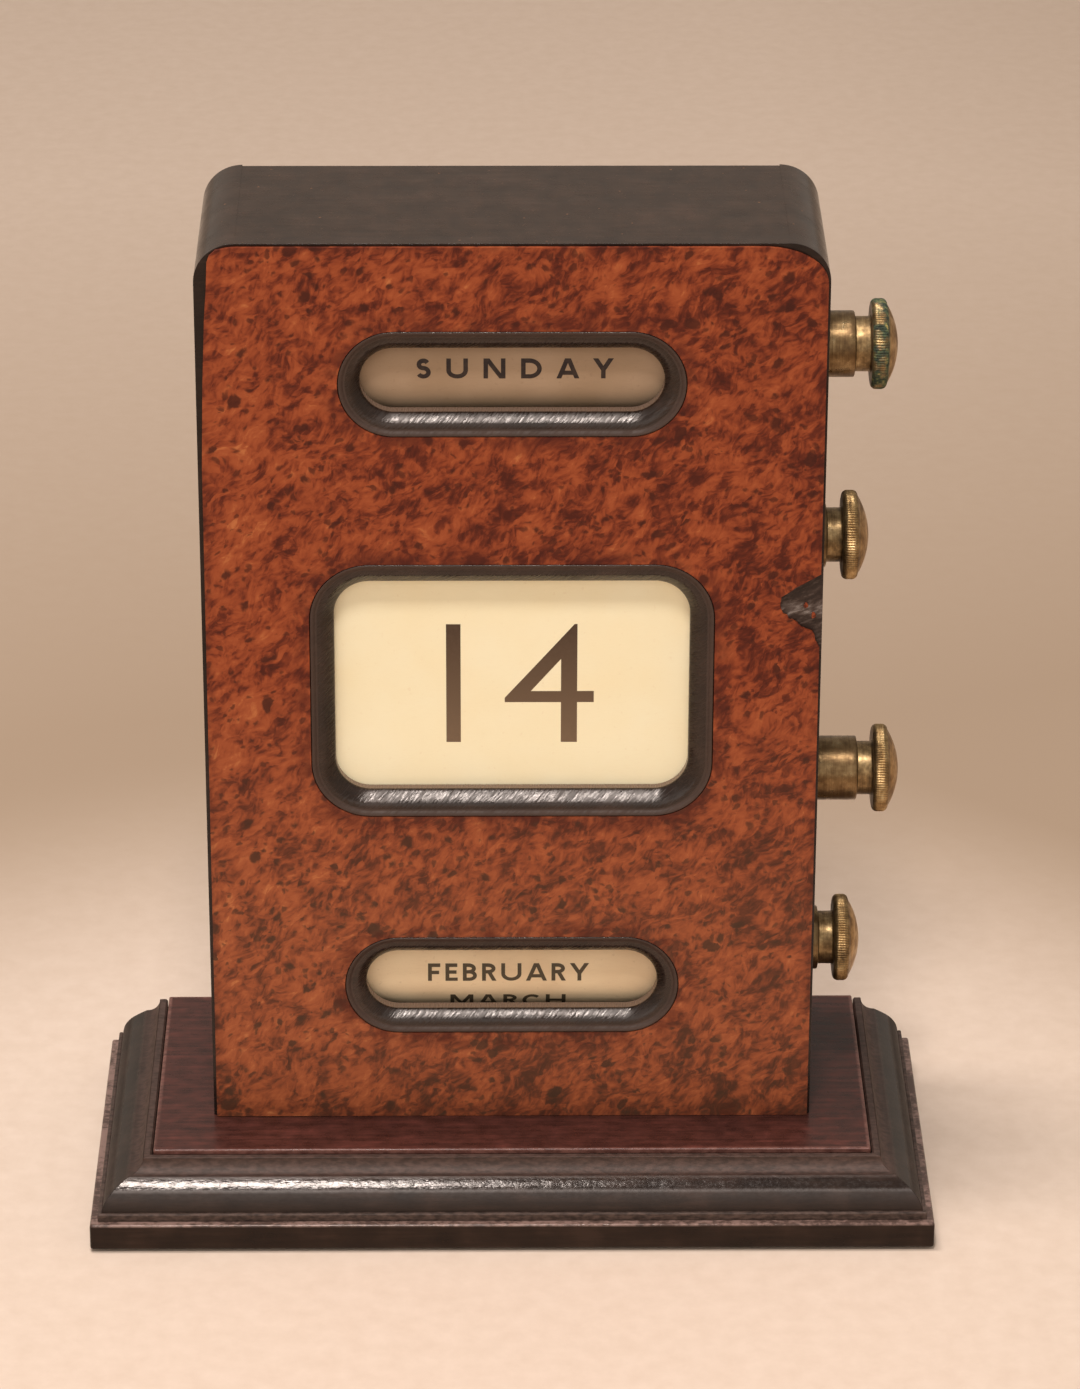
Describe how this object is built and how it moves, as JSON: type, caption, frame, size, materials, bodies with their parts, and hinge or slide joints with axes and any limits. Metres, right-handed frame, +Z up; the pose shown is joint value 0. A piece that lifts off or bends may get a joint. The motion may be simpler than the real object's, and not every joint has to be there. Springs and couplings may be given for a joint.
{
  "type": "desk calendar",
  "caption": "Upright desk calendar on a moulded plinth: day and month drums and a date scroll behind framed windows, turned by knobs on the right-hand side.",
  "frame": {"origin": "centre of the plinth's underside, on the surface that the calendar stands on", "axes": "+Z up; the front with its three windows faces -Y; the knobs point along +X"},
  "size_m": [0.1398, 0.0636, 0.1697],
  "materials": {
    "ebonised": "black-stained and polished, satin to gloss, with light wear",
    "burr": "polished orange-brown burr veneer with dark flecks",
    "mahogany": "dark red-brown polished veneer",
    "inner_wood": "plain unpolished softwood",
    "paper": "aged cream paper with dark printed lettering",
    "brass": "turned and knurled, tarnished",
    "felt": "dark green felt"
  },
  "bodies": {
    "case": {"base_felt": "felt", "base_board": "ebonised", "base_front_moulding": "ebonised", "base_left_moulding": "ebonised", "base_right_moulding": "ebonised", "plinth_core_board": "inner_wood", "plinth_top_panel": "mahogany", "case_left_side": "ebonised", "case_right_side": "ebonised", "case_top": "ebonised", "case_bottom": "inner_wood", "front_board": "ebonised", "burr_veneer": "burr", "day_bezel": "ebonised", "date_bezel": "ebonised", "month_bezel": "ebonised", "back_panel": "ebonised", "back_screw_lower_left": "brass", "back_screw_lower_right": "brass", "back_screw_upper_left": "brass", "back_screw_upper_right": "brass", "fixing_screw_left": "brass", "fixing_screw_right": "brass", "day_washer": "felt", "date_upper_washer": "felt", "date_lower_washer": "felt", "month_washer": "felt"},
    "day_drum": {"day_drum": "inner_wood", "day_band": "paper", "day_pivot_pin": "brass"},
    "day_knob": {"day_knob": "brass"},
    "date_upper_roller": {"date_upper_roller": "inner_wood", "date_upper_paper_roll": "paper", "date_upper_pivot_pin": "brass"},
    "date_upper_knob": {"date_upper_knob": "brass"},
    "date_scroll": {"date_scroll": "paper"},
    "date_lower_roller": {"date_lower_roller": "inner_wood", "date_lower_paper_roll": "paper", "date_lower_pivot_pin": "brass"},
    "date_lower_knob": {"date_lower_knob": "brass"},
    "month_drum": {"month_drum": "inner_wood", "month_band": "paper", "month_pivot_pin": "brass"},
    "month_knob": {"month_knob": "brass"}
  },
  "joints": [
    {"name": "day_turn", "type": "hinge", "parent": "case", "child": "day_drum", "pos_m": [0, 0.0062, 0.1464], "axis": [-1, 0, 0], "continuous": true},
    {"name": "day_knob_pull", "type": "slide", "parent": "day_drum", "child": "day_knob", "axis": [1, 0, 0], "range_m": [-0.0038, 0.0042]},
    {"name": "date_upper_turn", "type": "hinge", "parent": "case", "child": "date_upper_roller", "pos_m": [0, 0.0062, 0.1129], "axis": [-1, 0, 0], "range_deg": [0, 129]},
    {"name": "date_upper_knob_pull", "type": "slide", "parent": "date_upper_roller", "child": "date_upper_knob", "axis": [1, 0, 0], "range_m": [0, 0.008]},
    {"name": "date_scroll_travel", "type": "slide", "parent": "case", "child": "date_scroll", "axis": [0, 0, 1], "range_m": [0, 0.0275]},
    {"name": "date_lower_turn", "type": "hinge", "parent": "case", "child": "date_lower_roller", "pos_m": [0, 0.0062, 0.0705], "axis": [-1, 0, 0], "range_deg": [0, 129]},
    {"name": "date_lower_knob_pull", "type": "slide", "parent": "date_lower_roller", "child": "date_lower_knob", "axis": [1, 0, 0], "range_m": [-0.0061, 0.0019]},
    {"name": "month_turn", "type": "hinge", "parent": "case", "child": "month_drum", "pos_m": [0, 0.0062, 0.0386], "axis": [-1, 0, 0], "continuous": true},
    {"name": "month_knob_pull", "type": "slide", "parent": "month_drum", "child": "month_knob", "axis": [1, 0, 0], "range_m": [-0.0004, 0.0076]}
  ],
  "couplings": [
    {"joint": "date_lower_turn", "follows": "date_upper_turn", "ratio": 1},
    {"joint": "date_scroll_travel", "follows": "date_upper_turn", "m_per_rad": 0.0122}
  ]
}
